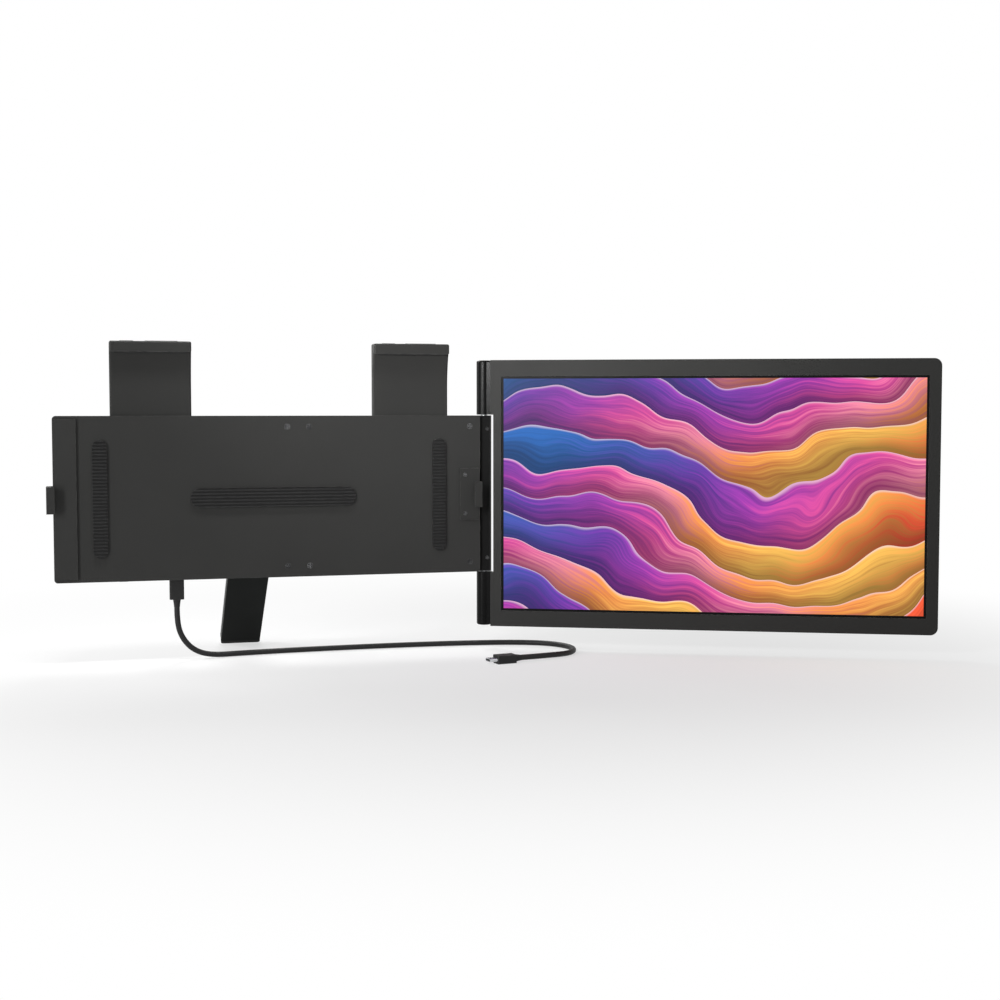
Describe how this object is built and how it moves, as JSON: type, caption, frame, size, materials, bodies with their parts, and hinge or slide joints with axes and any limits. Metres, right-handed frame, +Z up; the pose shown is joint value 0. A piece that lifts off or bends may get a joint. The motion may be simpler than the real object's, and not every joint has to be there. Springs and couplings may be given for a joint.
{
  "type": "portable monitor",
  "caption": "Clip-on portable monitor: a slim screen hinged to a flat bracket that rests behind a lid, with top clips, side hooks, a fold-out leg and a plugged-in lead.",
  "frame": {"origin": "middle of the bracket's contact pad, on the plane where the bracket meets the back of the lid", "axes": "+X from the bracket towards the screen, +Y away from the user, +Z up"},
  "size_m": [0.6254, 0.218, 0.2301],
  "materials": {
    "shell": "fine satin grain",
    "bezel": "fine matt grain",
    "hinge_cast": "fine matt paint",
    "clip": "fine satin grain",
    "leg": "fine satin grain",
    "rubber": "matt",
    "display": "matt coated",
    "light_guide": "clear",
    "sheet_steel": "rolled",
    "bright_steel": "turned",
    "dark_screws": "black oxide",
    "guide_plastic": "as moulded",
    "board": "solder mask",
    "foam": "foam tape",
    "wire": "sleeved",
    "button": "satin",
    "lead": "satin"
  },
  "bodies": {
    "bracket": {"bracket_tray": "shell", "rear_cover_hinge_side": "shell", "rear_cover_leg_side": "shell", "tray_screws": "dark_screws", "hinge_barrel": "hinge_cast", "barrel_front_strip": "hinge_cast", "barrel_screws": "dark_screws", "lug_screws": "dark_screws", "hinge_disc_springs": "bright_steel", "near_side_hook": "clip", "near_hook_pad": "rubber", "near_hook_screws": "dark_screws", "lid_pad_middle": "rubber", "lid_pads_end": "rubber", "near_clip_sleeve": "guide_plastic", "far_clip_sleeve": "guide_plastic", "clip_friction_shoes": "guide_plastic", "side_hook_sleeve": "guide_plastic", "main_board": "board", "board_shield": "sheet_steel", "board_screws": "dark_screws", "usb_c_ports": "bright_steel", "hdmi_port": "bright_steel", "button_switch": "board", "signal_wires": "wire", "leg_pin": "bright_steel", "leg_washers": "bright_steel", "lead_plug_nose": "bright_steel", "lead_plug_grip": "lead", "lead_cord": "lead", "lead_far_grip": "lead", "lead_far_nose": "bright_steel"},
    "screen": {"screen_front_bezel": "bezel", "screen_back_cover": "shell", "lcd_panel": "display", "backlight_unit": "light_guide", "led_strip": "light_guide", "panel_backplate": "sheet_steel", "panel_spacers": "foam", "timing_board": "board", "panel_lead": "wire", "knuckle_upper": "hinge_cast", "knuckle_lower": "hinge_cast", "hinge_leaf_upper": "sheet_steel", "hinge_leaf_lower": "sheet_steel", "leaf_screws": "dark_screws", "hinge_shaft_upper": "bright_steel", "hinge_shaft_lower": "bright_steel", "hinge_nuts": "bright_steel"},
    "near_clip": {"near_clip_arm": "clip", "near_clip_pad": "rubber"},
    "far_clip": {"far_clip_arm": "clip", "far_clip_pad": "rubber"},
    "far_hook": {"far_side_hook": "clip", "far_hook_pad": "rubber"},
    "leg": {"leg_body": "leg", "leg_cover": "leg", "leg_screws": "dark_screws", "leg_foot": "rubber"},
    "button": {"power_button": "button"}
  },
  "joints": [
    {"name": "screen_hinge", "type": "hinge", "parent": "bracket", "child": "screen", "pos_m": [0.1605, 0.011, 0], "axis": [0, 0, 1], "range_deg": [-20, 170]},
    {"name": "near_clip_slide", "type": "slide", "parent": "bracket", "child": "near_clip", "axis": [0, 0, 1], "range_m": [-0.019, 0.025]},
    {"name": "far_clip_slide", "type": "slide", "parent": "bracket", "child": "far_clip", "axis": [0, 0, 1], "range_m": [-0.019, 0.025]},
    {"name": "far_hook_slide", "type": "slide", "parent": "bracket", "child": "far_hook", "axis": [-1, 0, 0], "range_m": [-0.001, 0.022]},
    {"name": "leg_fold", "type": "hinge", "parent": "bracket", "child": "leg", "pos_m": [-0.0181, 0.0082, -0.0495], "axis": [1, 0, 0], "range_deg": [-13, 132]},
    {"name": "button_press", "type": "slide", "parent": "bracket", "child": "button", "axis": [0, 0, 1], "range_m": [0, 0.0005], "stiffness_N_per_m": 800}
  ]
}
